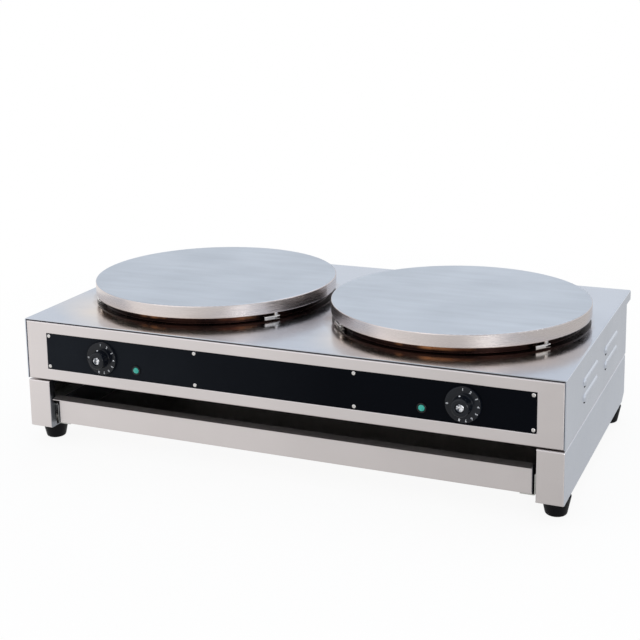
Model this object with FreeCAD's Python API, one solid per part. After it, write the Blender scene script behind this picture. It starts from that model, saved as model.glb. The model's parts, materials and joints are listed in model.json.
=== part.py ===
import FreeCAD, Part
import math
import os

# Double electric crepe maker, millimetres. X is the width, Y runs from the
# front panel to the rear, Z is up. The origin is at the bottom centre.

V = FreeCAD.Vector
X_AXIS = V(1, 0, 0)
Y_AXIS = V(0, 1, 0)
Z_AXIS = V(0, 0, 1)
OUT_OF_FRONT = V(0, -1, 0)
DOWN = V(0, 0, -1)

os.makedirs("parts", exist_ok=True)

# Stainless sheet work
sheet = 1.5
bend = 2.5                      # outside radius of a fold
fit = 0.3                       # gap between nested sheets
past = 1.0                      # how far a cutting tool runs past a face
match = 0.01                    # coordinates closer than this are the same
thread_end = 2.0                # bolt standing out of its nut

# Cooking plates and the margins of the body round them
plate_radius = 200.0
plate_thickness = 20.0
plate_gap = 13.2                # plate above the top cover
plate_spacing = 24.0            # between the two plates
side_margin = 18.0              # plate edge to the body's side
front_margin = 37.3             # plate edge to the front panel's face
rear_margin = 15.7              # plate edge to the rear panel's face

# Overall body
hood_reach = 37.0               # top cover behind the rear panel
hood_drop = 15.4
foot_height = 28.0
base_height = 77.5
seam = 2.5                      # open joint between base and housing
housing_height = 98.0

# Base sides, rear rail and drawer runners
post_width = 39.3
post_return = 14.0
corner_run = 20.0               # cut lower rear corner of the base sides
corner_rise = 12.0
rail_flange = 18.0
runner_height = 30.0
runner_lap = 14.0               # runner flange welded to the base side
ledge_width = 22.0
ledge_lift = 4.2

# Drawer tray
drawer_sheet = 1.2
drawer_side_gap = 7.0           # tray to post, seen from the front
drawer_setback = 12.0           # tray front behind the posts
drawer_stop_gap = 7.5           # tray to the rear rail's flanges
drawer_front_height = 47.5
drawer_wall_height = 40.0
drawer_hem = 6.0
drawer_rest_gap = 0.3           # tray above the runner ledge
runner_side_gap = 2.0
lip_reach = 13.4
lip_drop = 4.3
lip_overlap = 1.0
lip_corner = 6.5

# Feet and their bolts
foot_inset_x = 19.5
foot_inset_front = 39.4
foot_inset_rear = 35.7
foot_top_radius = 21.0
foot_bottom_radius = 15.0
foot_edge_radius = 4.0
foot_rim_radius = 1.0
foot_socket_radius = 7.0
foot_socket_depth = 9.0
bolt_radius = 3.0
bolt_head_radius = 5.5
bolt_head_height = 4.0
bolt_clearance = 0.3
nut_radius = 5.8
nut_height = 5.0
head_rim_share = 0.75           # crown of a screw head above its rim

# Front panel with a pressed recess for the black control panel
top_gap = 1.8                   # dark line under the top cover
panel_flange = 18.0
recess_depth = 2.5
control_end = 39.5              # body side to the control panel's end
control_height = 57.5
control_thickness = 2.0
control_below = 19.0            # front panel lower edge to control panel
control_fit = 0.4
control_corner = 2.0
window_edge = 1.2               # rounding of the recess rim
panel_screw_inset_x = 4.2
panel_screw_inset_top = 3.6
panel_screw_inset_bottom = 4.8
panel_screw_inner_x = 128.0
panel_screw_radius = 1.5
panel_screw_head_radius = 3.0
panel_screw_head_height = 1.6
panel_screw_length = 9.0

# Knobs, spindles and thermostats
knob_inset = 101.5              # knob centre to the control panel's end
knob_radius = 26.5
knob_skirt_height = 3.6
knob_height = 18.5
knob_boss_radius = 14.5
knob_boss_front_radius = 12.8
knob_gap = 0.9                  # skirt to control panel
knob_wall = 2.0
knob_hub_radius = 6.5
knob_hub_setback = 1.0          # hub end in front of the skirt's rim
knob_recess_radius = 6.8
knob_recess_depth = 4.0
knob_recess_edge = 0.6
knob_boss_edge = 2.4
knob_root_radius = 0.8
knob_skirt_edge = 1.0
knob_skirt_taper = 1.2
spindle_radius = 3.0
spindle_flat = 1.0              # depth of the flat that drives the knob
spindle_setback = 1.2           # end of spindle below the knob's front face
spindle_running = 0.05
spindle_passage = 2.0           # panel holes round the spindle
spindle_socket = 9.0            # length held in the thermostat
cap_radius = 6.0
cap_height = 2.2
cap_edge = 1.2
cap_eye_radius = 1.2
thermostat_width = 38.0
thermostat_depth = 30.0
thermostat_corner = 3.0
thermostat_ear = 8.0
thermostat_neck_radius = 8.0
thermostat_neck = 4.0
ear_screw_pitch = 28.0
ear_screw_radius = 2.0
ear_screw_head_radius = 3.6
ear_screw_head_height = 1.2
ear_hole_depth = 4.0            # thread in the thermostat's body
terminal_tab = 8.0
terminal_tab_width = 6.4
terminal_tab_thickness = 0.8

# Pilot lamps
lamp_offset = 60.0              # from the knob towards the middle
lamp_drop = 12.8                # below the knob centre
lamp_bezel_radius = 7.2
lamp_bezel_height = 2.4
lamp_barrel_radius = 5.6
lamp_barrel_length = 24.0
lamp_bezel_edge = 1.0
lamp_lens_radius = 4.7
lamp_lens_dome = 1.6
lamp_lens_seat = 2.0            # lens below the panel's face
lamp_lens_fit = 0.05
lamp_lens_rim = 0.3             # straight rim of the lens above the bezel
lamp_lens_shoulder = 0.55       # share of the lens radius where the crown bends
lamp_lens_shoulder_drop = 0.2
lamp_lens_edge = 0.6
lamp_lens_crown = 2.0
lamp_nut_radius = 8.5
lamp_nut_height = 3.0

# Griddle plates and what heats them
plate_edge = 1.6
plate_lower_edge = 1.0
plate_pocket_inset = 22.0       # pocket wall inside the plate's edge
plate_pocket_depth = 6.0
pan_inset = 12.0                # pan wall inside the plate's edge
pan_flange_inset = 1.0
pan_depth = 38.0
pan_collar_gap = 3.2            # collar below the plate
pan_root_radius = 1.5           # between collar and flange
pan_seat_gap = 1.5              # pan wall to the edge of the cover opening
insulation_thickness = 26.0
insulation_gap = 1.0            # disc to pan wall
element_radius = 4.0
element_inner_radius = 52.0
element_inset = 12.0            # outer turn inside the clamp disc's edge
element_turns = 3
element_bend = 12.0
element_tail = 12.0
element_gap = 0.3
clamp_inset = 6.0               # clamp disc inside the pocket's wall
clamp_thickness = 2.0
clamp_stud_radius = 4.0
clamp_nut_radius = 7.5
clamp_nut_height = 6.5
leg_hole_clearance = 2.0
leg_slot_clearance = 6.8        # where the element bends down through the clamp

# Brackets between pan and plate
bracket_angle = 37.0
bracket_inset = 1.4             # bracket face inside the plate's edge
bracket_width = 26.5
bracket_riser_width = 18.0
bracket_height = 7.0
bracket_foot_gap = 0.1          # foot to the bend under the pan's collar
bracket_top_gap = 0.7           # top flange to the pan's collar
bracket_sheet = 1.5
bracket_fold = 2.1
bracket_window_margin = 0.3
bracket_stud_radius = 2.5
bracket_stud_inset = 6.2        # stud behind the bracket's outer face
bracket_stud_offset = 9.4       # stud towards the bracket's open end
bracket_collar_radius = 3.6
bracket_stud_grip = 8.0         # thread in the plate
bracket_stud_tail = 4.6
bracket_nut_radius = 4.2
bracket_nut_height = 2.8
rivet_radius = 1.6
rivet_head_radius = 3.0
rivet_head_height = 0.9
rivet_offset = 5.0

# Sensing bulbs of the thermostats
capillary_radius = 1.3
capillary_bend = 9.0
capillary_hole_clearance = 1.5
bulb_radius = 3.2
bulb_length = 70.0
bulb_setback = 100.0            # capillary riser in front of the plate centre

# Rear panel, cable gland, bonding stud and terminal block
gland_inset = 130.0             # gland to the body's side
gland_height = 40.0             # above the housing's lower edge
gland_bore_radius = 6.0
gland_thread_radius = 9.5
gland_hex_radius = 14.0
gland_hex_height = 7.0
gland_cap_height = 13.0
gland_cap_radius = 12.0
gland_cap_edge = 3.0
gland_face = 0.5                # body that meets the rear panel under the hexagon
gland_inside = 9.0
gland_nut_height = 4.5
bond_pitch = 60.0               # bonding stud beside the gland
bond_reach = 16.0
bond_inside = 8.0
bond_collar_radius = 6.0
bond_collar_height = 3.0
slot_length = 40.0
slot_height = 5.0
slot_pitch_x = 56.0
slot_pitch_z = 14.0
slot_columns = 8
slot_rows = 2
slot_centre_x = -60.0
slot_rise = 50.0
block_width = 76.0
block_depth = 24.0
block_height = 18.0
block_ways = 6
block_hole_radius = 2.4
block_hole_depth = 6.0
block_hole_setback = 7.2        # screw holes behind the block's long faces
block_groove = 1.6
block_groove_depth = 4.0

# Housing floor, spacers and small screws
floor_flange = 12.0
floor_inset = 3.0
floor_slot_pitch = 30.0
floor_slot_rows = 5
floor_slot_length = 120.0
spacer_radius = 8.0
housing_bolt_setback_front = 95.0
housing_bolt_setback_rear = 95.0
screw_radius = 2.0
screw_head_radius = 3.8
screw_head_height = 2.0
screw_length = 8.0
rear_screw_inset = 7.0
rail_screw_spread = 20.0

# Louvres pressed out of the housing sides
louvre_length = 100.0
louvre_height = 15.0
louvre_reach = 3.0
louvre_front_setback = 112.0
louvre_rear_setback = 268.0
louvre_upper_z = 57.0           # above the housing's lower edge
louvre_lower_z = 33.5
louvre_slit_below = 3.4
louvre_sheet = 1.2
louvre_window = 2.0             # tool beyond the louvre's reach

# Levels and planes worked out from the sizes above
plate_x = plate_radius + plate_spacing / 2
half_width = plate_x + plate_radius + side_margin
body_depth = front_margin + 2 * plate_radius + rear_margin
knob_front_reach = knob_height + knob_gap - (recess_depth - control_thickness)
front = -(body_depth + hood_reach - knob_front_reach) / 2
rear = front + body_depth
hood_rear = rear + hood_reach
base_low = foot_height
base_top = base_low + base_height
housing_low = base_top + seam
housing_top = housing_low + housing_height
inner_half = half_width - sheet
post_inner = half_width - post_width
control_face = front + recess_depth - control_thickness
control_half = half_width - control_end
control_low = housing_low + control_below
control_top = control_low + control_height
knob_x = control_half - knob_inset
knob_z = control_low + control_height / 2
knob_face = control_face - knob_gap - knob_height
lamp_x = knob_x - lamp_offset
lamp_z = knob_z - lamp_drop
recess_back = front + recess_depth + sheet
plate_y = front + front_margin + plate_radius
plate_low = housing_top + plate_gap
plate_top = plate_low + plate_thickness
plate_pocket_radius = plate_radius - plate_pocket_inset
pan_wall_radius = plate_radius - pan_inset
pan_flange_radius = plate_radius - pan_flange_inset
pan_floor = housing_top - pan_depth
element_z = plate_low + plate_pocket_depth - element_gap - element_radius
clamp_top = element_z - element_radius - element_gap
clamp_low = clamp_top - clamp_thickness
clamp_radius = plate_pocket_radius - clamp_inset
element_outer_radius = clamp_radius - element_inset
element_pitch = (element_outer_radius - element_inner_radius) / element_turns
drawer_half = post_inner - drawer_side_gap
drawer_front = front + drawer_setback
drawer_rear = rear - sheet - rail_flange - drawer_stop_gap
drawer_low = base_low + ledge_lift + sheet + drawer_rest_gap
runner_web = drawer_half + runner_side_gap
floor_low = housing_low + sheet
floor_top = floor_low + sheet
bracket_outer = plate_radius - bracket_inset
bracket_post = bracket_outer - bracket_stud_inset
gland_x = half_width - gland_inset
bond_x = gland_x - bond_pitch
supply_z = housing_low + gland_height
SIDES = {"left": -1, "right": 1}


# Helpers for solids

def box(x0, x1, y0, y1, z0, z1):
    """Axis-aligned block between two corners."""
    return Part.makeBox(x1 - x0, y1 - y0, z1 - z0, V(x0, y0, z0))


def rod(radius, start, length, axis):
    """Round bar from a start point along an axis."""
    return Part.makeCylinder(radius, length, start, axis)


def mirrored(shape):
    """The same piece for the other side of the machine."""
    return shape.mirror(V(0, 0, 0), X_AXIS)


def rounded_wire(corners, place):
    """Closed outline through (u, v, radius) corners with tangent arcs."""
    edges = []
    joints = []
    count = len(corners)
    for i, (u, v, radius) in enumerate(corners):
        here = V(u, v, 0)
        back = V(corners[i - 1][0], corners[i - 1][1], 0) - here
        ahead_corner = corners[(i + 1) % count]
        ahead = V(ahead_corner[0], ahead_corner[1], 0) - here
        back.normalize()
        ahead.normalize()
        if radius <= 0:
            joints.append((here, None, here))
            continue
        half = back.getAngle(ahead) / 2
        reach = radius / math.tan(half)
        middle = back + ahead
        middle.normalize()
        crown = here + middle * (radius / math.sin(half) - radius)
        joints.append((here + back * reach, crown, here + ahead * reach))
    for i, (start, crown, end) in enumerate(joints):
        last_end = joints[i - 1][2]
        if last_end.distanceToPoint(start) > 1e-6:
            edges.append(Part.makeLine(place(last_end), place(start)))
        if crown is not None:
            edges.append(Part.Arc(place(start), place(crown), place(end)).toShape())
    return Part.Wire(Part.__sortEdges__(edges))


def prism(corners, plane, start, length):
    """Solid of a rounded outline drawn in a plane and drawn out across it."""
    places = {
        "xy": (lambda p: V(p.x, p.y, start), Z_AXIS),
        "xz": (lambda p: V(p.x, start, p.y), Y_AXIS),
        "yz": (lambda p: V(start, p.x, p.y), X_AXIS),
    }
    place, direction = places[plane]
    return Part.Face(rounded_wire(corners, place)).extrude(direction * length)


def turned(corners, origin, axis):
    """Solid turned from (radius, height, corner radius) points about an axis."""
    face = Part.Face(rounded_wire(corners, lambda p: V(p.x, 0, p.y)))
    solid = face.revolve(V(0, 0, 0), Z_AXIS, 360)
    solid.Placement = FreeCAD.Placement(origin, FreeCAD.Rotation(Z_AXIS, axis))
    return solid


def folded(path, thickness, radius):
    """Corners of a folded sheet lying to the left of its face line."""
    count = len(path)
    normals = []
    for (u0, v0), (u1, v1) in zip(path, path[1:]):
        length = math.hypot(u1 - u0, v1 - v0)
        normals.append((-(v1 - v0) / length, (u1 - u0) / length))
    face = []
    other = []
    for i, (u, v) in enumerate(path):
        first = normals[max(i - 1, 0)]
        second = normals[min(i, count - 2)]
        scale = thickness / (1 + first[0] * second[0] + first[1] * second[1])
        turn = first[0] * second[1] - first[1] * second[0]
        near = far = 0
        if 0 < i < count - 1:
            near = radius if turn > 0 else radius - thickness
            far = radius - thickness if turn > 0 else radius
        face.append((u, v, near))
        shift_u = (first[0] + second[0]) * scale
        shift_v = (first[1] + second[1]) * scale
        other.append((u + shift_u, v + shift_v, far))
    return face + other[::-1]


def filleted(solid, radius, test):
    """Solid with every edge rounded whose midpoint and direction pass a test."""
    chosen = []
    for edge in solid.Edges:
        start = edge.valueAt(edge.FirstParameter)
        end = edge.valueAt(edge.LastParameter)
        middle = edge.valueAt((edge.FirstParameter + edge.LastParameter) / 2)
        if test(middle, end - start):
            chosen.append(edge)
    return solid.makeFillet(radius, chosen)


def near(a, b):
    """True where two coordinates agree."""
    return abs(a - b) < match


def hexagon(radius, start, height, axis):
    """Hexagonal bar, radius over its corners."""
    angles = [math.radians(60 * i) for i in range(7)]
    points = [V(radius * math.cos(a), radius * math.sin(a), 0) for a in angles]
    solid = Part.Face(Part.makePolygon(points)).extrude(Z_AXIS * height)
    solid.Placement = FreeCAD.Placement(start, FreeCAD.Rotation(Z_AXIS, axis))
    return solid


def nut(radius, bore, start, height, axis):
    """Hexagonal nut."""
    return hexagon(radius, start, height, axis).cut(rod(bore, start, height, axis))


def screw(shank, head, head_height, seat, length, axis):
    """Screw with a low domed head on its seat, the shank along the axis."""
    crown = head_height * head_rim_share
    corners = [(0, -head_height, 0), (head, -head_height, crown), (head, 0, 0),
               (shank, 0, 0), (shank, length, 0), (0, length, 0)]
    return turned(corners, seat, axis)


def slot_cutter(centre, length, height, depth, axis):
    """Round-ended slot tool, long along X, sunk along an axis."""
    span = length / 2 - height / 2
    across = X_AXIS.cross(axis)
    tool = rod(height / 2, centre - X_AXIS * span, depth, axis)
    tool = tool.fuse(rod(height / 2, centre + X_AXIS * span, depth, axis))
    corner = centre - X_AXIS * span - across * (height / 2)
    along = X_AXIS * 2 * span
    rise = across * height
    outline = [corner, corner + along, corner + along + rise, corner + rise, corner]
    bar = Part.Face(Part.makePolygon(outline)).extrude(axis * depth)
    return tool.fuse(bar).removeSplitter()


def group(solids):
    """Several loose solids kept in one node."""
    return Part.makeCompound(solids)


def around_plate(side, solid, angle):
    """Copy of a piece drawn at the origin, set round a plate's centre."""
    copy = solid.copy()
    copy.rotate(V(0, 0, 0), Z_AXIS, angle)
    copy.translate(V(SIDES[side] * plate_x, plate_y, 0))
    return copy


# Places that several pieces share

def foot_places():
    """Centres of the four feet at floor level."""
    foot_x = half_width - foot_inset_x
    places = {}
    for side, sign in SIDES.items():
        places["front_" + side] = V(sign * foot_x, front + foot_inset_front, 0)
        places["rear_" + side] = V(sign * foot_x, rear - foot_inset_rear, 0)
    return places


def housing_bolt_places():
    """Bolts that hold the housing on the base, on the line of the feet."""
    bolt_x = half_width - foot_inset_x
    depths = (front + housing_bolt_setback_front, rear - housing_bolt_setback_rear)
    return [V(sign * bolt_x, y, base_top) for sign in SIDES.values() for y in depths]


def panel_screw_places():
    """Eight screws along the long edges of the control panel."""
    outer = control_half - panel_screw_inset_x
    heights = (control_low + panel_screw_inset_bottom, control_top - panel_screw_inset_top)
    columns = (-outer, -panel_screw_inner_x, panel_screw_inner_x, outer)
    return [V(x, control_face, z) for x in columns for z in heights]


def ear_screw_places():
    """Two thermostat screws above and below each spindle."""
    rise = ear_screw_pitch / 2
    return [V(sign * knob_x, control_face, knob_z + step)
            for sign in SIDES.values() for step in (-rise, rise)]


def bracket_angles():
    """Four brackets round a plate, in a rectangle."""
    return (bracket_angle, 180 - bracket_angle, 180 + bracket_angle, 360 - bracket_angle)


def element_leg_places(side):
    """Where the two ends of a heating element drop through the pan."""
    x = SIDES[side] * plate_x
    return [V(x + element_inner_radius, plate_y - element_bend, 0),
            V(x + element_outer_radius, plate_y + element_bend, 0)]


def capillary_place(side):
    """Where a capillary rises through the pan."""
    return V(SIDES[side] * knob_x, plate_y - bulb_setback, 0)


def rear_screw_places():
    """Screws along the top and ends of the rear panel."""
    high = housing_top - sheet - fit - rear_screw_inset
    outer = inner_half - rear_screw_inset
    return [V(x, rear, high) for x in (-outer, -outer / 3, outer / 3, outer)]


def rail_screw_places():
    """Screws through the rear flanges of the base sides into the rail."""
    x = half_width - post_width / 2
    middle = base_low + base_height / 2
    return [V(sign * x, rear, middle + step)
            for sign in SIDES.values() for step in (-rail_screw_spread / 2, rail_screw_spread / 2)]


# Base

def base_side_right():
    """Folded base side: web, post in front, flanges all round."""
    def outline(inset):
        slope = math.hypot(corner_run, corner_rise)
        run_shift = inset * (slope - corner_run) / corner_rise
        rise_shift = inset * (slope - corner_rise) / corner_run
        return [(front + inset, base_low + inset, 0),
                (rear - corner_run - run_shift, base_low + inset, 0),
                (rear - inset, base_low + corner_rise + rise_shift, 0),
                (rear - inset, base_top - inset, 0),
                (front + inset, base_top - inset, 0)]

    def fold_edges(solid, web, radius, inset):
        def test(middle, direction):
            on_web = near(middle.x, web)
            across = abs(direction.x) > past
            on_front = near(middle.y, front + inset)
            return on_web or (across and on_front)
        return filleted(solid, radius, test)

    outer = prism(outline(0), "yz", post_inner, post_width)
    outer = fold_edges(outer, half_width, bend, 0)
    inner = prism(outline(sheet), "yz", post_inner - past, post_width + past - sheet)
    inner = fold_edges(inner, inner_half, bend - sheet, sheet)
    side = outer.cut(inner)
    lap = box(post_inner, post_inner + sheet, front, front + post_return,
              base_low + sheet, base_top - sheet)
    lap = filleted(lap, bend / 2, lambda m, d: near(m.x, post_inner) and near(m.y, front))
    notch = box(post_inner - past, post_inner + bend / 2, front - past, front + bend / 2,
                base_low + bend, base_top - bend)
    side = side.cut(notch).fuse(lap)
    for place in foot_places().values():
        side = side.cut(rod(bolt_radius + bolt_clearance, place, base_low + bend, Z_AXIS))
    for place in housing_bolt_places():
        side = side.cut(rod(bolt_radius + bolt_clearance, place - Z_AXIS * bend, bend, Z_AXIS))
    for place in rail_screw_places():
        side = side.cut(rod(screw_radius + bolt_clearance, place - Y_AXIS * bend, bend, Y_AXIS))
    return side.removeSplitter()


def base_rear_rail():
    """Channel across the back between the two base sides."""
    face = rear - sheet
    low = base_low + corner_rise + fit
    high = base_top - sheet - fit
    path = [(face - rail_flange, low), (face, low), (face, high), (face - rail_flange, high)]
    length = 2 * (inner_half - bend)
    rail = prism(folded(path, sheet, bend), "yz", -length / 2, length)
    for place in rail_screw_places():
        rail = rail.cut(rod(screw_radius, place - Y_AXIS * screw_length, screw_length, Y_AXIS))
    return rail


def drawer_runner_right():
    """Folded runner: ledge under the tray, guide beside it, flange on the base side."""
    ledge = base_low + ledge_lift
    shelf = ledge + runner_height
    path = [(runner_web + sheet - ledge_width, ledge), (runner_web + sheet, ledge),
            (runner_web + sheet, shelf), (inner_half, shelf), (inner_half, shelf + runner_lap)]
    start = front + post_return + 2 * fit
    end = rear - sheet - rail_flange - 2 * fit
    return prism(folded(path, sheet, bend), "xz", start, end - start)


def foot(place):
    """Tapered rubber foot with a socket for its bolt."""
    bore = bolt_radius + bolt_clearance
    corners = [(bore, foot_socket_depth, 0), (foot_socket_radius, foot_socket_depth, 0),
               (foot_socket_radius, 0, 0), (foot_bottom_radius, 0, foot_edge_radius),
               (foot_top_radius, foot_height, foot_rim_radius), (bore, foot_height, 0)]
    return turned(corners, place, Z_AXIS)


def foot_bolts():
    """Bolts from the foot sockets up through the base flanges."""
    length = foot_height - foot_socket_depth + sheet + nut_height + thread_end
    seats = [place + Z_AXIS * foot_socket_depth for place in foot_places().values()]
    return group([screw(bolt_radius, bolt_head_radius, bolt_head_height, seat, length, Z_AXIS)
                  for seat in seats])


def frame_nuts():
    """Nuts of the foot bolts, the housing bolts and the bonding stud's inner end."""
    seats = [(place + Z_AXIS * (base_low + sheet), Z_AXIS) for place in foot_places().values()]
    seats += [(V(place.x, place.y, floor_top), Z_AXIS) for place in housing_bolt_places()]
    seats.append((V(bond_x, rear - sheet, supply_z), OUT_OF_FRONT))
    return group([nut(nut_radius, bolt_radius, start, nut_height, axis) for start, axis in seats])


def rear_screws():
    """Screws of the rear panel and of the rear rail."""
    places = rear_screw_places() + rail_screw_places()
    return group([screw(screw_radius, screw_head_radius, screw_head_height, place, screw_length,
                        OUT_OF_FRONT) for place in places])


# Drawer

def drawer_tray():
    """Folded tray with hemmed walls and a sloping lip that the fingers pull."""
    def shell(inset, low, high):
        half = drawer_half - inset
        return box(-half, half, drawer_front + inset, drawer_rear - inset, low, high)

    def rounded(solid, low, radius):
        return filleted(solid, radius, lambda m, d: near(m.z, low) or abs(d.z) > past)

    lip_top = drawer_low + drawer_front_height
    top = lip_top - 2 * bend
    wall_top = drawer_low + drawer_wall_height
    floor_face = drawer_low + drawer_sheet
    outer = rounded(shell(0, drawer_low, top), drawer_low, bend)
    inner = rounded(shell(drawer_sheet, floor_face, top + past), floor_face, bend - drawer_sheet)
    rim_cut = box(-drawer_half - past, drawer_half + past, drawer_front + bend, drawer_rear + past,
                  wall_top, top + past)
    hem_half = drawer_half - 2 * drawer_sheet
    hem = shell(drawer_sheet, wall_top - drawer_hem, wall_top)
    hem = hem.cut(box(-hem_half, hem_half, drawer_front, drawer_rear - 2 * drawer_sheet,
                      wall_top - drawer_hem, wall_top))
    tray = outer.cut(inner).cut(rim_cut)
    tray = tray.fuse(hem.common(outer))
    return tray.fuse(drawer_lip(lip_top)).removeSplitter()


def drawer_lip(top):
    """Lip folded forward and down from the tray's front wall, ends cut back."""
    root = drawer_front + drawer_sheet
    nose = drawer_front - lip_reach
    path = [(root, top - 3 * bend), (root, top), (nose, top - lip_drop)]
    lip_half = drawer_half + lip_overlap
    lip = prism(folded(path, drawer_sheet, bend), "yz", -lip_half, 2 * lip_half)
    start = drawer_front - 2 * past
    end = root + past
    for sign in SIDES.values():
        beyond = sign * (lip_half + past)
        corner = [(sign * lip_half, start, 0), (beyond, start, 0),
                  (beyond, end, 0), (sign * (lip_half - lip_corner), end, 0)]
        lip = lip.cut(prism(corner, "xy", drawer_low, drawer_front_height + past))
    return lip


# Housing

def louvre(sign, setback, level):
    """Pressed dome over a slit: the outer dome and the hollow inside it."""
    half_height = louvre_height / 2
    radius = (half_height ** 2 + louvre_reach ** 2) / (2 * louvre_reach)
    axis_x = sign * (half_width + louvre_reach - radius)
    y0 = front + setback + half_height
    y1 = front + setback + louvre_length - half_height
    z = housing_low + level

    def capsule(size):
        body = rod(size, V(axis_x, y0, z), y1 - y0, Y_AXIS)
        body = body.fuse(Part.makeSphere(size, V(axis_x, y0, z)))
        return body.fuse(Part.makeSphere(size, V(axis_x, y1, z)))

    reach = louvre_reach + louvre_window
    inner = sign * (half_width - sheet)
    outer = sign * (half_width + reach)
    window = box(min(inner, outer), max(inner, outer), y0 - radius, y1 + radius,
                 z - louvre_slit_below, z + radius)
    below = box(min(inner, outer), max(inner, outer), y0 - radius, y1 + radius,
                z - radius, z - louvre_slit_below)
    dome = capsule(radius).common(window)
    hollow = capsule(radius - louvre_sheet)
    return dome, hollow, capsule(radius).common(below)


def top_cover():
    """Top and both sides in one folded sheet, with a hood over the rear panel."""
    def folds(solid, half, back, top, radius):
        def test(middle, direction):
            along_side = near(abs(middle.x), half) and near(middle.z, top)
            along_back = near(middle.y, back) and near(middle.z, top)
            corner = near(abs(middle.x), half) and near(middle.y, back)
            return along_side or along_back or corner
        return filleted(solid, radius, test)

    outer = box(-half_width, half_width, front, hood_rear, housing_low, housing_top)
    outer = folds(outer, half_width, hood_rear, housing_top, bend)
    inner = box(-inner_half, inner_half, front - past, hood_rear - sheet,
                housing_low - past, housing_top - sheet)
    inner = folds(inner, inner_half, hood_rear - sheet, housing_top - sheet, bend - sheet)
    cover = outer.cut(inner)
    cover = cover.cut(box(-half_width - past, half_width + past, rear, hood_rear + past,
                          housing_low - past, housing_top - hood_drop))
    for sign in SIDES.values():
        centre = V(sign * plate_x, plate_y, housing_top - bend)
        cover = cover.cut(rod(pan_wall_radius + pan_seat_gap, centre, 2 * bend, Z_AXIS))
        for setback in (louvre_front_setback, louvre_rear_setback):
            for level in (louvre_lower_z, louvre_upper_z):
                dome, hollow, slit = louvre(sign, setback, level)
                cover = cover.fuse(dome).cut(hollow).cut(slit)
    for side in SIDES:
        for angle in bracket_angles():
            hole = rod(rivet_radius, V(bracket_post, -rivet_offset, housing_top - bend), 2 * bend, Z_AXIS)
            cover = cover.cut(around_plate(side, hole, angle))
    return cover.removeSplitter()


def front_panel():
    """Folded front with a pressed recess that takes the control panel."""
    half = inner_half - fit
    top = housing_top - sheet - top_gap
    back = front + panel_flange
    outer = box(-half, half, front, back, housing_low, top)
    outer = filleted(outer, bend, lambda m, d: near(m.y, front))
    inner = box(-half + sheet, half - sheet, front + sheet, back + past,
                housing_low + sheet, top - sheet)
    inner = filleted(inner, bend - sheet, lambda m, d: near(m.y, front + sheet))
    recess_half = control_half + control_fit
    low = control_low - control_fit
    high = control_top + control_fit
    tray = box(-recess_half - sheet, recess_half + sheet, front + sheet / 2, recess_back,
               low - sheet, high + sheet)
    hollow = box(-recess_half, recess_half, front - past, front + recess_depth, low, high)
    panel = outer.cut(inner).fuse(tray).cut(hollow)

    def rim(middle, direction):
        beside = near(abs(middle.x), recess_half) and low - past < middle.z < high + past
        along = (near(middle.z, low) or near(middle.z, high)) and abs(middle.x) < recess_half
        return near(middle.y, front) and (beside or along)

    panel = filleted(panel, window_edge, rim)
    return panel.cut(control_holes()).removeSplitter()


def control_holes():
    """Tools for the holes that pass through control panel and front panel."""
    start = control_face - past
    depth = recess_back - start + past
    tools = []
    for sign in SIDES.values():
        tools.append(rod(spindle_radius + spindle_passage, V(sign * knob_x, start, knob_z), depth, Y_AXIS))
        tools.append(rod(lamp_barrel_radius + fit / 2, V(sign * lamp_x, start, lamp_z), depth, Y_AXIS))
    for place in panel_screw_places():
        tools.append(rod(panel_screw_radius, place - Y_AXIS * past, depth, Y_AXIS))
    for place in ear_screw_places():
        tools.append(rod(ear_screw_radius, place - Y_AXIS * past, depth, Y_AXIS))
    return group(tools)


def control_panel():
    """Black panel seated in the recess of the front panel."""
    corners = [(-control_half, control_low, control_corner), (control_half, control_low, control_corner),
               (control_half, control_top, control_corner), (-control_half, control_top, control_corner)]
    plate = prism(corners, "xz", control_face, control_thickness)
    return plate.cut(control_holes())


def panel_screws():
    """Screws of the control panel."""
    return group([screw(panel_screw_radius, panel_screw_head_radius, panel_screw_head_height,
                        place, panel_screw_length, Y_AXIS) for place in panel_screw_places()])


def rear_panel():
    """Rear sheet under the hood with vent slots and the cable and bonding holes."""
    half = inner_half - fit
    top = housing_top - sheet - fit
    lap = rear - panel_flange
    path = [(lap, housing_low), (rear, housing_low), (rear, top), (lap, top)]
    panel = prism(folded(path, sheet, bend), "yz", -half, 2 * half)
    start = rear - sheet - past
    depth = sheet + 2 * past
    for row in range(slot_rows):
        for column in range(slot_columns):
            x = slot_centre_x + (column - (slot_columns - 1) / 2) * slot_pitch_x
            z = housing_low + slot_rise + (row - (slot_rows - 1) / 2) * slot_pitch_z
            panel = panel.cut(slot_cutter(V(x, start, z), slot_length, slot_height, depth, Y_AXIS))
    panel = panel.cut(rod(gland_thread_radius, V(gland_x, start, supply_z), depth, Y_AXIS))
    panel = panel.cut(rod(bolt_radius, V(bond_x, start, supply_z), depth, Y_AXIS))
    for place in rear_screw_places():
        hole = rod(screw_radius, place - Y_AXIS * screw_length, screw_length + past, Y_AXIS)
        panel = panel.cut(hole)
    return panel


def rear_panel_strip():
    """Angle strip under the top cover that the rear panel screws into."""
    face = rear - sheet
    top = housing_top - sheet - fit - sheet
    low = top - 2 * rear_screw_inset
    path = [(face, low), (face, top), (face - 2 * rear_screw_inset, top)]
    half = inner_half - 2 * fit - sheet
    strip = prism(folded(path, sheet, bend), "yz", -half, 2 * half)
    for place in rear_screw_places():
        strip = strip.cut(rod(screw_radius, place - Y_AXIS * screw_length, screw_length, Y_AXIS))
    return strip


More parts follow.
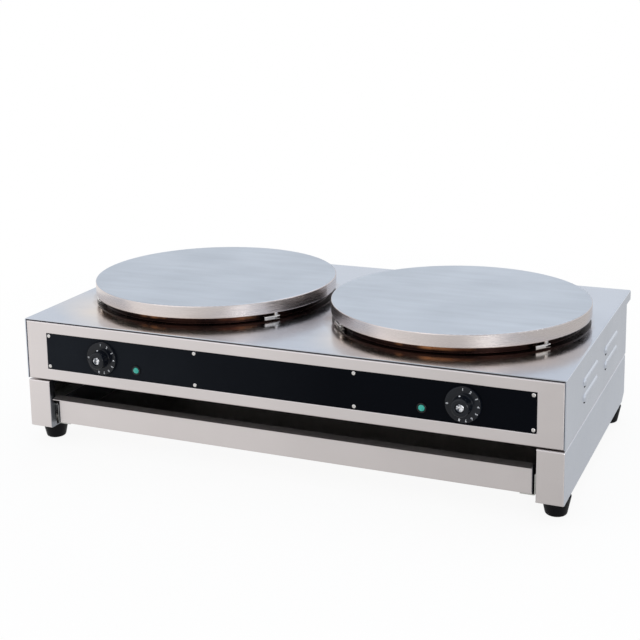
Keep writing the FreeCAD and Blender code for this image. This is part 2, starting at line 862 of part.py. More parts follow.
def housing_floor():
    """Floor of the housing, a shallow tray with vent slots under each plate."""
    half = inner_half - sheet - 2 * fit
    y0 = front + floor_inset
    y1 = rear - bend - fit
    outer = box(-half, half, y0, y1, floor_low, floor_low + floor_flange)
    inner = box(-half + sheet, half - sheet, y0 - past, y1 + past,
                floor_top, floor_low + floor_flange + past)
    floor = outer.cut(inner)
    for sign in SIDES.values():
        for row in range(floor_slot_rows):
            y = plate_y + (row - (floor_slot_rows - 1) / 2) * floor_slot_pitch
            place = V(sign * plate_x, y, floor_low - past)
            slot = slot_cutter(place, floor_slot_length, slot_height, sheet + 2 * past, Z_AXIS)
            floor = floor.cut(slot)
    for place in housing_bolt_places():
        floor = floor.cut(rod(bolt_radius + bolt_clearance, place, seam + 3 * sheet, Z_AXIS))
    return floor


def housing_spacers():
    """Washers that hold the housing clear of the base."""
    height = floor_low - base_top
    bore = bolt_radius + bolt_clearance
    return group([rod(spacer_radius, place, height, Z_AXIS).cut(rod(bore, place, height, Z_AXIS))
                  for place in housing_bolt_places()])


def housing_bolts():
    """Bolts from the base flanges up into the housing floor."""
    length = sheet + floor_top - base_top + nut_height + thread_end
    seats = [place - Z_AXIS * sheet for place in housing_bolt_places()]
    return group([screw(bolt_radius, bolt_head_radius, bolt_head_height, seat, length, Z_AXIS)
                  for seat in seats])


# Controls

def spindle_flat_cutter(side):
    """Block beyond the flat that keys a knob to its spindle."""
    x = SIDES[side] * knob_x
    r = spindle_radius
    y0 = knob_face + knob_recess_depth
    return box(x - r, x + r, y0, knob_face + knob_height - knob_hub_setback,
               knob_z + r - spindle_flat, knob_z + r + past)


def knob(side):
    """Moulded control knob: thin dial skirt, hollow tapered boss, recess and hub."""
    skirt = knob_height - knob_skirt_height
    web = skirt + knob_wall
    boss_web = knob_recess_depth + knob_wall
    hub_end = knob_height - knob_hub_setback
    corners = [
        (spindle_radius, knob_recess_depth, 0), (knob_recess_radius, knob_recess_depth, 0),
        (knob_recess_radius, 0, knob_recess_edge), (knob_boss_front_radius, 0, knob_boss_edge),
        (knob_boss_radius, skirt, knob_root_radius),
        (knob_radius - knob_skirt_taper, skirt, knob_skirt_edge), (knob_radius, knob_height, 0),
        (knob_radius - knob_wall, knob_height, 0), (knob_radius - knob_wall - knob_skirt_taper, web, 0),
        (knob_boss_radius - knob_wall, web, 0), (knob_boss_front_radius - knob_wall, boss_web, 0),
        (knob_hub_radius, boss_web, 0), (knob_hub_radius, hub_end, 0), (spindle_radius, hub_end, 0)]
    place = V(SIDES[side] * knob_x, knob_face, knob_z)
    moulding = turned(corners, place, Y_AXIS)
    key = rod(spindle_radius, place, knob_height, Y_AXIS).common(spindle_flat_cutter(side))
    return moulding.fuse(key).removeSplitter()


def spindle(side):
    """Thermostat spindle that carries the knob."""
    start = V(SIDES[side] * knob_x, knob_face + knob_recess_depth - cap_height, knob_z)
    end = recess_back + thermostat_neck + spindle_socket
    return rod(spindle_radius, start, end - start.y, Y_AXIS).cut(spindle_flat_cutter(side))


def knob_cap(side):
    """Bright cap in the knob's recess, on the spindle's end."""
    height = knob_recess_depth - spindle_setback
    corners = [(spindle_radius, 0, 0), (cap_radius, 0, 0), (cap_radius, height, cap_edge),
               (cap_eye_radius, height, 0), (cap_eye_radius, cap_height, 0),
               (spindle_radius, cap_height, 0)]
    place = V(SIDES[side] * knob_x, knob_face + knob_recess_depth, knob_z)
    return turned(corners, place, OUT_OF_FRONT)


def thermostat(side):
    """Capillary thermostat with mounting ears behind the front panel."""
    x = SIDES[side] * knob_x
    half = thermostat_width / 2
    y0 = recess_back + thermostat_neck
    y1 = y0 + thermostat_depth
    body = box(x - half, x + half, y0, y1, knob_z - half, knob_z + half)
    body = filleted(body, thermostat_corner, lambda m, d: abs(d.y) > past)
    ear = box(x - thermostat_ear / 2, x + thermostat_ear / 2, recess_back, y0 + sheet,
              knob_z - half, knob_z + half)
    ear = ear.cut(box(x - half, x + half, recess_back + sheet, y0,
                      knob_z - half + sheet, knob_z + half - sheet))
    neck = rod(thermostat_neck_radius, V(x, recess_back + sheet, knob_z), thermostat_neck, Y_AXIS)
    solid = body.fuse(ear).fuse(neck)
    tab_z = knob_z - half / 2
    tab_half = terminal_tab_width / 2
    tab_rise = terminal_tab_thickness / 2
    for step in (-1, 0, 1):
        tab_x = x + step * thermostat_width / 3
        solid = solid.fuse(box(tab_x - tab_half, tab_x + tab_half, y1, y1 + terminal_tab,
                               tab_z - tab_rise, tab_z + tab_rise))
    bore = rod(spindle_radius + spindle_running, V(x, recess_back - past, knob_z),
               thermostat_neck + spindle_socket + past + fit, Y_AXIS)
    solid = solid.cut(bore)
    for place in ear_screw_places():
        solid = solid.cut(rod(ear_screw_radius, place, y0 + ear_hole_depth - control_face, Y_AXIS))
    return solid.removeSplitter()


def thermostat_screws():
    """Flat screws under the knob skirts that hold the thermostats."""
    length = recess_back + thermostat_neck - control_face
    return group([screw(ear_screw_radius, ear_screw_head_radius, ear_screw_head_height, place,
                        length, Y_AXIS) for place in ear_screw_places()])


def sensor(side):
    """Capillary tube and sensing bulb from a thermostat to under its plate."""
    riser = capillary_place(side)
    r = capillary_bend
    lean = r * (1 - math.cos(math.pi / 4))
    run = r * math.sin(math.pi / 4)
    start_y = recess_back + thermostat_neck + thermostat_depth
    bulb_z = clamp_low - element_gap - bulb_radius
    x = riser.x
    y = riser.y
    turn_up = (V(x, y - r, knob_z), V(x, y - r + run, knob_z + lean), V(x, y, knob_z + r))
    turn_back = (V(x, y, bulb_z - r), V(x, y + lean, bulb_z - r + run), V(x, y + r, bulb_z))
    edges = [Part.makeLine(V(x, start_y, knob_z), turn_up[0]), Part.Arc(*turn_up).toShape(),
             Part.makeLine(turn_up[2], turn_back[0]), Part.Arc(*turn_back).toShape()]
    ring = Part.Wire(Part.makeCircle(capillary_radius, V(x, start_y, knob_z), Y_AXIS))
    tube = Part.Wire(edges).makePipeShell([ring], True, False)
    bulb = rod(bulb_radius, V(x, y + r, bulb_z), bulb_length, Y_AXIS)
    return tube.fuse(bulb)


def pilot_bezel(side):
    """Bezel and threaded barrel of a pilot lamp."""
    height = lamp_bezel_height
    tail = lamp_barrel_length
    corners = [(lamp_lens_radius, -height + lamp_lens_edge, 0),
               (lamp_lens_radius + lamp_lens_edge, -height, 0),
               (lamp_bezel_radius, -height, lamp_bezel_edge), (lamp_bezel_radius, 0, 0),
               (lamp_barrel_radius, 0, 0), (lamp_barrel_radius, tail, 0), (0, tail, 0),
               (0, lamp_lens_seat, 0), (lamp_lens_radius, lamp_lens_seat, 0)]
    return turned(corners, V(SIDES[side] * lamp_x, control_face, lamp_z), Y_AXIS)


def pilot_lens(side):
    """Green lens of a pilot lamp."""
    rim = lamp_bezel_height - lamp_lens_edge + lamp_lens_rim
    crown = lamp_bezel_height - lamp_lens_edge + lamp_lens_dome
    radius = lamp_lens_radius - lamp_lens_fit
    shoulder = radius * lamp_lens_shoulder
    corners = [(0, -lamp_lens_seat, 0), (radius, -lamp_lens_seat, 0), (radius, rim, lamp_lens_edge),
               (shoulder, crown - lamp_lens_shoulder_drop, lamp_lens_crown), (0, crown, 0)]
    return turned(corners, V(SIDES[side] * lamp_x, control_face, lamp_z), OUT_OF_FRONT)


def lamp_nuts():
    """Nuts that clamp the pilot lamps from behind."""
    return group([nut(lamp_nut_radius, lamp_barrel_radius, V(sign * lamp_x, recess_back, lamp_z),
                      lamp_nut_height, Y_AXIS) for sign in SIDES.values()])


# Plates and heating

def griddle_plate(side):
    """Cast cooking plate: flat top, soft rim, pocket below for the element."""
    pocket = plate_low + plate_pocket_depth
    corners = [(0, plate_top, 0), (plate_radius, plate_top, plate_edge),
               (plate_radius, plate_low, plate_lower_edge), (plate_pocket_radius, plate_low, 0),
               (plate_pocket_radius, pocket, 0), (0, pocket, 0)]
    plate = turned(corners, V(SIDES[side] * plate_x, plate_y, 0), Z_AXIS)
    for angle in bracket_angles():
        hole = rod(bracket_stud_radius, V(bracket_post, bracket_stud_offset, plate_low - past),
                   bracket_stud_grip + past, Z_AXIS)
        plate = plate.cut(around_plate(side, hole, angle))
    centre = V(SIDES[side] * plate_x, plate_y, plate_low)
    return plate.cut(rod(clamp_stud_radius, centre, plate_pocket_depth + bracket_stud_grip, Z_AXIS))


def heating_element(side):
    """Tubular element: flat spiral of half turns with both ends turned down."""
    cx = SIDES[side] * plate_x
    cy = plate_y
    z = element_z
    low = pan_floor - element_tail
    b = element_bend
    lean = b * (1 - math.cos(math.pi / 4))
    run = b * math.sin(math.pi / 4)
    inner_x = cx + element_inner_radius
    start = V(inner_x, cy - b, low)
    knee = V(inner_x, cy - b, z - b)
    arcs = [(knee, V(inner_x, cy - b + lean, z - b + run), V(inner_x, cy, z))]
    radius = element_inner_radius
    middle_x = cx + element_pitch / 2
    for turn in range(element_turns):
        grown = radius + element_pitch / 2
        far_side = V(cx - radius, cy, z)
        arcs.append((V(cx + radius, cy, z), V(cx, cy + radius, z), far_side))
        arcs.append((far_side, V(middle_x, cy - grown, z), V(middle_x + grown, cy, z)))
        radius += element_pitch
    outer_x = cx + radius
    last_knee = V(outer_x, cy + b, z - b)
    arcs.append((V(outer_x, cy, z), V(outer_x, cy + run, z - lean), last_knee))
    edges = [Part.makeLine(start, knee)]
    edges += [Part.Arc(*points).toShape() for points in arcs]
    edges.append(Part.makeLine(last_knee, V(outer_x, cy + b, low)))
    ring = Part.Wire(Part.makeCircle(element_radius, start, Z_AXIS))
    return Part.Wire(edges).makePipeShell([ring], True, False)


def element_clamp(side):
    """Steel disc that holds the element in the plate's pocket."""
    centre = V(SIDES[side] * plate_x, plate_y, clamp_low)
    disc = rod(clamp_radius, centre, clamp_thickness, Z_AXIS)
    disc = disc.cut(rod(clamp_stud_radius, centre, clamp_thickness, Z_AXIS))
    for place in element_leg_places(side):
        hole = V(place.x, place.y, clamp_low)
        disc = disc.cut(rod(element_radius + leg_slot_clearance, hole, clamp_thickness, Z_AXIS))
    return disc


def clamp_studs():
    """Centre studs from the plates through the clamp discs."""
    low = clamp_low - clamp_nut_height - thread_end
    high = plate_low + plate_pocket_depth + bracket_stud_grip
    return group([rod(clamp_stud_radius, V(sign * plate_x, plate_y, low), high - low, Z_AXIS)
                  for sign in SIDES.values()])


def clamp_nuts():
    """Nuts of the clamp studs."""
    return group([nut(clamp_nut_radius, clamp_stud_radius, V(sign * plate_x, plate_y, clamp_low),
                      clamp_nut_height, DOWN) for sign in SIDES.values()])


def pan(side):
    """Pan in the cover opening: floor, wall, seating flange and raised collar."""
    wall = pan_wall_radius
    high = plate_low - pan_collar_gap
    corners = [(0, pan_floor, 0), (wall, pan_floor, bend), (wall, housing_top, 0),
               (pan_flange_radius, housing_top, 0), (pan_flange_radius, housing_top + sheet, 0),
               (wall, housing_top + sheet, pan_root_radius), (wall, high, 0), (wall - sheet, high, 0),
               (wall - sheet, pan_floor + sheet, bend - sheet), (0, pan_floor + sheet, 0)]
    dish = turned(corners, V(SIDES[side] * plate_x, plate_y, 0), Z_AXIS)
    depth = sheet + 2 * past
    for place in element_leg_places(side):
        hole = V(place.x, place.y, pan_floor - past)
        dish = dish.cut(rod(element_radius + leg_hole_clearance, hole, depth, Z_AXIS))
    riser = capillary_place(side)
    hole = V(riser.x, riser.y, pan_floor - past)
    dish = dish.cut(rod(capillary_radius + capillary_hole_clearance, hole, depth, Z_AXIS))
    for angle in bracket_angles():
        hole = rod(rivet_radius, V(bracket_post, -rivet_offset, housing_top - past), depth, Z_AXIS)
        dish = dish.cut(around_plate(side, hole, angle))
    return dish


def insulation(side):
    """Ceramic fibre disc on the pan's floor."""
    low = pan_floor + sheet
    height = insulation_thickness
    centre = V(SIDES[side] * plate_x, plate_y, low)
    disc = rod(pan_wall_radius - sheet - insulation_gap, centre, height, Z_AXIS)
    for place in element_leg_places(side):
        hole = V(place.x, place.y, low)
        disc = disc.cut(rod(element_radius + leg_hole_clearance, hole, height, Z_AXIS))
    riser = capillary_place(side)
    hole = V(riser.x, riser.y, low)
    return disc.cut(rod(capillary_radius + capillary_hole_clearance, hole, height, Z_AXIS))


def plate_brackets(side):
    """Four folded clips that stand on the pan flange and carry the plate."""
    low = housing_top + sheet
    high = low + bracket_height
    path = [(pan_wall_radius + pan_root_radius + bracket_foot_gap, low), (bracket_outer, low),
            (bracket_outer, high), (pan_wall_radius + bracket_top_gap, high)]
    half = bracket_width / 2
    clip = prism(folded(path, bracket_sheet, bracket_fold), "xz", -half, bracket_width)
    margin = bracket_sheet + bracket_window_margin
    window = box(bracket_outer - bracket_fold - past, bracket_outer + past,
                 -half + bracket_riser_width, half + past, low + margin, high - margin)
    clip = clip.cut(window)
    stud_hole = V(bracket_post, bracket_stud_offset, high - bend)
    rivet_hole = V(bracket_post, -rivet_offset, low - past)
    clip = clip.cut(rod(bracket_stud_radius, stud_hole, 2 * bend, Z_AXIS))
    clip = clip.cut(rod(rivet_radius, rivet_hole, bend + past, Z_AXIS))
    return group([around_plate(side, clip, angle) for angle in bracket_angles()])


def bracket_studs():
    """Shouldered studs that screw up into the plates."""
    top = housing_top + sheet + bracket_height
    low = top - bracket_stud_tail
    r = bracket_stud_radius
    high = plate_low + bracket_stud_grip
    corners = [(0, low, 0), (r, low, 0), (r, top, 0), (bracket_collar_radius, top, 0),
               (bracket_collar_radius, plate_low, 0), (r, plate_low, 0), (r, high, 0), (0, high, 0)]
    stud = turned(corners, V(bracket_post, bracket_stud_offset, 0), Z_AXIS)
    return group([around_plate(side, stud, angle) for side in SIDES for angle in bracket_angles()])


def bracket_nuts():
    """Nuts under the top flanges of the brackets."""
    top = housing_top + sheet + bracket_height - bracket_sheet
    start = V(bracket_post, bracket_stud_offset, top)
    piece = nut(bracket_nut_radius, bracket_stud_radius, start, bracket_nut_height, DOWN)
    return group([around_plate(side, piece, angle) for side in SIDES for angle in bracket_angles()])


def bracket_rivets():
    """Rivets through bracket foot, pan flange and top cover."""
    seat = housing_top + sheet + bracket_sheet
    low = seat - bracket_sheet - 2 * sheet
    h = rivet_head_height
    corners = [(0, seat + h, 0), (rivet_head_radius, seat + h, h / 2), (rivet_head_radius, seat, 0),
               (rivet_radius, seat, 0), (rivet_radius, low, 0), (rivet_head_radius, low, 0),
               (rivet_head_radius, low - h, h / 2), (0, low - h, 0)]
    rivet = turned(corners, V(bracket_post, -rivet_offset, 0), Z_AXIS)
    return group([around_plate(side, rivet, angle) for side in SIDES for angle in bracket_angles()])


# Supply side

def cable_gland():
    """Cable gland through the rear panel, with its bore for the supply cord."""
    bore = gland_bore_radius
    thread = gland_thread_radius
    inside = -sheet - gland_inside
    outside = gland_hex_height + gland_cap_height
    corners = [(bore, inside, 0), (thread, inside, 0), (thread, gland_face, 0),
               (gland_cap_radius, gland_face, 0), (gland_cap_radius, outside, gland_cap_edge),
               (bore, outside, 0)]
    place = V(gland_x, rear, supply_z)
    body = turned(corners, place, Y_AXIS)
    return body.fuse(nut(gland_hex_radius, bore, place, gland_hex_height, Y_AXIS)).removeSplitter()


def gland_locknut():
    """Locknut of the cable gland inside the rear panel."""
    place = V(gland_x, rear - sheet, supply_z)
    return nut(gland_hex_radius, gland_thread_radius, place, gland_nut_height, OUT_OF_FRONT)


def bonding_stud():
    """Equipotential bonding stud, its collar seated on the rear panel."""
    inside = -sheet - bond_inside
    corners = [(0, inside, 0), (bolt_radius, inside, 0), (bolt_radius, 0, 0),
               (bond_collar_radius, 0, 0), (bond_collar_radius, bond_collar_height, 0),
               (bolt_radius, bond_collar_height, 0), (bolt_radius, bond_reach, 0), (0, bond_reach, 0)]
    return turned(corners, V(bond_x, rear, supply_z), Y_AXIS)


def terminal_block():
    """Terminal block on the housing floor near the gland."""
    y1 = rear - 2 * gland_hex_radius
    y0 = y1 - block_depth
    x0 = gland_x - block_width / 2
    high = floor_top + block_height
    block = box(x0, x0 + block_width, y0, y1, floor_top, high)
    step = block_width / block_ways
    for way in range(block_ways):
        x = x0 + (way + 0.5) * step
        for y in (y0 + block_hole_setback, y1 - block_hole_setback):
            hole = V(x, y, high - block_hole_depth)
            block = block.cut(rod(block_hole_radius, hole, block_hole_depth, Z_AXIS))
    half_groove = block_groove / 2
    for way in range(1, block_ways):
        x = x0 + way * step
        block = block.cut(box(x - half_groove, x + half_groove, y0, y1, high - block_groove_depth, high))
    return block


# Every node of the machine and the solid that fills it

def nodes():
    """Name and solid of each sub-part."""
    right_side = base_side_right()
    right_runner = drawer_runner_right()
    parts = {
        "top_cover": top_cover(), "front_panel": front_panel(), "control_panel": control_panel(),
        "panel_screws": panel_screws(), "rear_panel": rear_panel(),
        "rear_panel_strip": rear_panel_strip(),
        "rear_screws": rear_screws(), "housing_floor": housing_floor(),
        "housing_spacers": housing_spacers(), "housing_bolts": housing_bolts(), "frame_nuts": frame_nuts(),
        "base_side_right": right_side, "base_side_left": mirrored(right_side),
        "drawer_runner_right": right_runner, "drawer_runner_left": mirrored(right_runner),
        "base_rear_rail": base_rear_rail(), "foot_bolts": foot_bolts(), "drawer_tray": drawer_tray(),
        "thermostat_screws": thermostat_screws(), "lamp_nuts": lamp_nuts(),
        "clamp_studs": clamp_studs(), "clamp_nuts": clamp_nuts(), "bracket_studs": bracket_studs(),
        "bracket_nuts": bracket_nuts(), "bracket_rivets": bracket_rivets(),
        "cable_gland": cable_gland(), "gland_locknut": gland_locknut(),
        "bonding_stud": bonding_stud(), "terminal_block": terminal_block(),
    }
    for name, place in foot_places().items():
        parts["foot_" + name] = foot(place)
    paired = {
        "griddle_plate": griddle_plate, "heating_element": heating_element, "element_clamp": element_clamp,
        "heat_pan": pan, "insulation_disc": insulation, "plate_brackets": plate_brackets,
        "thermostat": thermostat, "thermostat_sensor": sensor, "spindle": spindle, "knob": knob,
        "knob_cap": knob_cap, "pilot_bezel": pilot_bezel, "pilot_lens": pilot_lens,
    }
    for name, make in paired.items():
        for side in SIDES:
            parts[name + "_" + side] = make(side)
    return parts


for name, shape in nodes().items():
    shape.exportStep("parts/" + name + ".step")
    print(name, "valid", shape.isValid(), "solids", len(shape.Solids), "volume", round(shape.Volume))
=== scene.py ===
import bmesh
import bpy
import json
import math
from mathutils import Matrix, Vector


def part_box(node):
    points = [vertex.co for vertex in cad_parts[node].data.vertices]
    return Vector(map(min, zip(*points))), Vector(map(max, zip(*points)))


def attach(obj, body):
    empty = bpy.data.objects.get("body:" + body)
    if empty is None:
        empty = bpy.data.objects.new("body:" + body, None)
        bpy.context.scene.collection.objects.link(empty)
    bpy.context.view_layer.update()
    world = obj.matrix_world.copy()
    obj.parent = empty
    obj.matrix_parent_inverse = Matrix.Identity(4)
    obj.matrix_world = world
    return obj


# Dressed scene of the double crepe maker, metres, in the model's own frame.

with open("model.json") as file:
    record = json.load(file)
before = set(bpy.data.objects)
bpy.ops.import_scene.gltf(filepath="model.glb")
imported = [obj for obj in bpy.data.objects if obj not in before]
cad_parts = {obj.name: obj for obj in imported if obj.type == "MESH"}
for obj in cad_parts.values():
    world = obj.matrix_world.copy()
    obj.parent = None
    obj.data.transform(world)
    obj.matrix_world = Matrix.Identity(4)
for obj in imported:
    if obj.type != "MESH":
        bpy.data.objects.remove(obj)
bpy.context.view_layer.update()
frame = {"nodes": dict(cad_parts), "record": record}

SIDES = ("left", "right")

# Sizes shared by the materials and the printed marks
PLATE_X = 0.212                 # plate centre to the middle of the machine
PLATE_Y = 0.00175
COVER_TOP = 0.206
PLATE_TOP = 0.2392
OUTER_SIDE = 0.43               # outer face of the base sides
PLATE_RIM = 0.0004              # below the top face, where the rim's rounding starts
SKIRT_BACK = 0.0149             # skirt face behind the knob's front
NUMBER_RADIUS = 0.0205          # foot of the numbers on the skirt
NUMBER_SIZE = 0.0052
NUMBER_DEPTH = 0.00012
# Degrees clockwise from the top, at the marks that the photograph shows
NUMBER_ANGLES = {"0": 270, "1": 0, "2": 30, "3": 61, "4": 91, "5": 119, "6": 144, "7": 168, "8": 192}
POINTER_ANGLE = -12
POINTER_RADIUS = 0.0139         # on the boss, near its foot
POINTER_BACK = 0.0100           # behind the knob's front
POINTER_SIZE = (0.0013, 0.0013, 0.0013)

# Camera of the photograph
CAMERA_PLACE = Vector((0.76445, -1.8197, 0.76067))
CAMERA_YAW = 0.4074
CAMERA_PITCH = 0.1911
CAMERA_ROLL = -0.0163
FOCAL_PIXELS = 1266.0
FRAME_PIXELS = 640.0
AXIS_ROW = 200.0                # picture row that the optical axis meets
SENSOR = 36.0

# Where a material changes
COVER_SKIN = 0.0004             # below the cover's top, still counted as its top
TINT_FADE = (0.19, 0.212)       # brown heat tint, from a plate's axis
WARM_REFLECTION_FADE = (0.205, 0.28)       # painted warm reflection on the cover, from a plate's axis
AHEAD_FADE = (-0.17, -0.05)     # Y over which the painted reflection ends
MIDDLE_FADE = (0.02, 0.09)      # distance from the middle over which it starts
COLLAR_FADE = (0.0042, 0.0078)  # copper on the pans' collars, above the cover
PANEL_LIGHT_FADE = (-0.4, 0.1)        # X over which the painted light on the control panel's left end stops
INNER_SHADE_FADE = (0.003, 0.001)     # inside OUTER_SIDE, where painted shade darkens a base side

# Colours, and pairs of colours that a pattern runs between
# One steel in painted light: COOL_LIT_STEEL on the sides and the cover, WARM_LIT_STEEL on the fronts
COOL_LIT_STEEL = (0.59, 0.625, 0.69)
WARM_LIT_STEEL = (0.70, 0.655, 0.645)
# rims of the plates, warm as a painted reflection
WARM_REFLECTION_RIM = (0.71, 0.65, 0.63)
PLATE_STEEL = (0.60, 0.645, 0.705)
# painted warm reflection on the cover ahead of the plates
WARM_REFLECTION_STEEL = (0.86, 0.74, 0.63)
TINT_BROWN = (0.36, 0.24, 0.16)
COPPER = ((0.10, 0.03, 0.018), (0.50, 0.23, 0.10))
# painted shade on the pans, nearly black next to the cover
UNDER_PLATE_SHADE = ((0.010, 0.006, 0.006), (0.035, 0.016, 0.013))
# painted reflections on the knob caps, bright and dark
CAP_REFLECTION_TONES = ((0.88, 0.89, 0.92), (0.10, 0.11, 0.13))
# control panel black, and its paler end in painted light
PANEL_BLACK = ((0.0012, 0.0018, 0.0035), (0.012, 0.0145, 0.019))
LENS_GREEN = ((0.008, 0.26, 0.20), (0.016, 0.38, 0.31))
LENS_GLOW = (0.01, 0.33, 0.26, 1.0)
FIBRE_TONES = ((0.80, 0.78, 0.73), (0.62, 0.59, 0.52))

# Floor, backdrop and lamps
FLOOR_REACH = 40.0
FLOOR_GREY = (0.92, 0.92, 0.92, 1.0)
FLOOR_ROUGHNESS = 0.9
WHITE_SHARE = (0.91, 1.0)       # plain white in the floor, near and far
WHITE_FADE = (0.5, 1.3)         # distance over which it grows
MIRROR_FLOOR = (1.0, 0.62)      # floor's strength in mirror rays, left and right
MIRROR_FADE = (-0.7, 0.45)      # X over which it falls
AMBIENT_COLOR = (0.96, 0.98, 1.0, 1.0)
AMBIENT_STRENGTH = 0.7
# Height and colour of the backdrop's stops
BACKDROP = (
    (0.06, (1.0, 1.0, 1.0, 1.0)),
    (0.34, (0.80, 0.84, 0.90, 1.0)),
    (1.0, (0.42, 0.44, 0.48, 1.0)),
)
# Name, place, target, size, watts and colour
LAMPS = (
    ("key", (-1.6, -2.4, 2.0), (0.0, 0.0, 0.12), (3.2, 2.4), 15.0, (1.0, 0.965, 0.93)),
    ("strip", (1.28, -1.35, 0.22), (0.1, 0.0, 0.2), (0.45, 0.36), 4.5, (1.0, 1.0, 1.0)),
    ("top", (0.3, 0.3, 2.4), (0.1, 0.0, 0.2), (3.2, 2.4), 20.0, (0.94, 0.97, 1.0)),
)


class Recipe:
    """A node material while it is being put together."""

    def __init__(self, name, color, roughness, metallic=0.0):
        self.material = bpy.data.materials.new(name)
        self.material.use_nodes = True
        self.nodes = self.material.node_tree.nodes
        self.links = self.material.node_tree.links
        self.shader = self.nodes["Principled BSDF"]
        self.shader.inputs["Base Color"].default_value = (*color, 1.0)
        self.shader.inputs["Roughness"].default_value = roughness
        self.shader.inputs["Metallic"].default_value = metallic
        self.place = self.nodes.new("ShaderNodeTexCoord").outputs["Object"]

    def add(self, kind, settings=None, **values):
        """New node; values go to inputs by name, settings to its own fields."""
        node = self.nodes.new(kind)
        for key, value in (settings or {}).items():
            setattr(node, key, value)
        for key, value in values.items():
            socket = node.inputs[int(key[2:]) if key.startswith("in") else key.replace("_", " ")]
            if isinstance(value, bpy.types.NodeSocket):
                self.links.new(value, socket)
            else:
                socket.default_value = value
        return node

    def math(self, operation, a, b=0.0):
        """One arithmetic step."""
        return self.add("ShaderNodeMath", {"operation": operation}, in0=a, in1=b).outputs[0]

    def stretch(self, scale):
        """Object coordinates scaled along each axis."""
        return self.add("ShaderNodeMapping", Vector=self.place, Scale=scale).outputs[0]

    def noise(self, vector, scale, detail=2.0, roughness=0.5):
        """Grey noise."""
        return self.add("ShaderNodeTexNoise", Vector=vector, Scale=scale, Detail=detail,
                        Roughness=roughness).outputs[0]

    def spread(self, value, low, high, start=0.3, end=0.7):
        """A grey value mapped to a range."""
        return self.add("ShaderNodeMapRange", Value=value, From_Min=start, From_Max=end,
                        To_Min=low, To_Max=high).outputs[0]

    def blend(self, factor, first, second):
        """Colour between two colours or colour sockets."""
        node = self.add("ShaderNodeMix", {"data_type": "RGBA"}, in0=factor)
        for socket, value in ((node.inputs[6], first), (node.inputs[7], second)):
            if isinstance(value, bpy.types.NodeSocket):
                self.links.new(value, socket)
            else:
                socket.default_value = (*value, 1.0)
        return node.outputs[2]

    def color(self, socket):
        self.links.new(socket, self.shader.inputs["Base Color"])

    def rough(self, socket):
        self.links.new(socket, self.shader.inputs["Roughness"])

    def bump(self, height, strength, distance):
        """Bump from a grey height."""
        node = self.add("ShaderNodeBump", Strength=strength, Distance=distance, Height=height)
        self.links.new(node.outputs[0], self.shader.inputs["Normal"])


def side_facing(recipe):
    """1 on faces that look along X, 0 on the front, back and top."""
    normal = recipe.nodes.new("ShaderNodeTexCoord").outputs["Normal"]
    parts = recipe.add("ShaderNodeSeparateXYZ", Vector=normal)
    return recipe.spread(recipe.math("ABSOLUTE", parts.outputs[0]), 0.0, 1.0, 0.5, 0.85)


def grain(recipe, facing, across, along):
    """Brushing lines along X on the flat and the front, upright on the sides."""
    flat = recipe.noise(recipe.stretch((along, across, across)), 1.0, 3.0)
    side = recipe.noise(recipe.stretch((across, across, along)), 1.0, 3.0)
    return recipe.add("ShaderNodeMix", {"data_type": "FLOAT"}, in0=facing, in2=flat, in3=side).outputs[0]


def shade(color, factor):
    """The same colour made darker or lighter."""
    return tuple(part * factor for part in color)


def brushed_steel(name, front, side, low, high, strength=0.05):
    """Brushed stainless sheet, warm with painted light on the front, cooler and brighter with painted
    light on faces along X, and dark with painted shade where those lie inside.
    """
    recipe = Recipe(name, front, (low + high) / 2, 1.0)
    facing = side_facing(recipe)
    lines = grain(recipe, facing, 2600.0, 22.0)
    cloud = recipe.spread(recipe.noise(recipe.place, 6.0, 4.0), 0.0, 1.0)
    # painted warm light on the front faces
    warm = recipe.blend(cloud, shade(front, 1.03), shade(front, 0.95))
    parts = recipe.add("ShaderNodeSeparateXYZ", Vector=recipe.place)
    across = recipe.math("ABSOLUTE", parts.outputs[0])
    # painted shade on the inner faces of the sides, inside OUTER_SIDE
    outer = recipe.spread(across, 0.0, 1.0, OUTER_SIDE - INNER_SHADE_FADE[0], OUTER_SIDE - INNER_SHADE_FADE[1])
    # painted cool light, brighter, on the outer faces along X
    bright = recipe.blend(cloud, shade(side, 1.17), shade(side, 1.11))
    cool = recipe.blend(outer, shade(side, 0.4), bright)
    recipe.color(recipe.blend(facing, warm, cool))
    smear = recipe.noise(recipe.stretch((18.0, 60.0, 60.0)), 1.0, 3.0)
    mixed = recipe.math("ADD", recipe.spread(lines, 0.0, 0.6), recipe.spread(smear, 0.0, 0.4))
    recipe.rough(recipe.spread(mixed, low, high, 0.0, 1.0))
    recipe.bump(lines, strength, 0.0001)
    return recipe.material


def around_plates(recipe):
    """Distance from the nearer plate's axis, height, and X and Y from that axis."""
    parts = recipe.add("ShaderNodeSeparateXYZ", Vector=recipe.place)
    x = recipe.math("SUBTRACT", recipe.math("ABSOLUTE", parts.outputs[0]), PLATE_X)
    y = recipe.math("SUBTRACT", parts.outputs[1], PLATE_Y)
    square = recipe.math("ADD", recipe.math("MULTIPLY", x, x), recipe.math("MULTIPLY", y, y))
    return recipe.math("SQRT", square), parts.outputs[2]


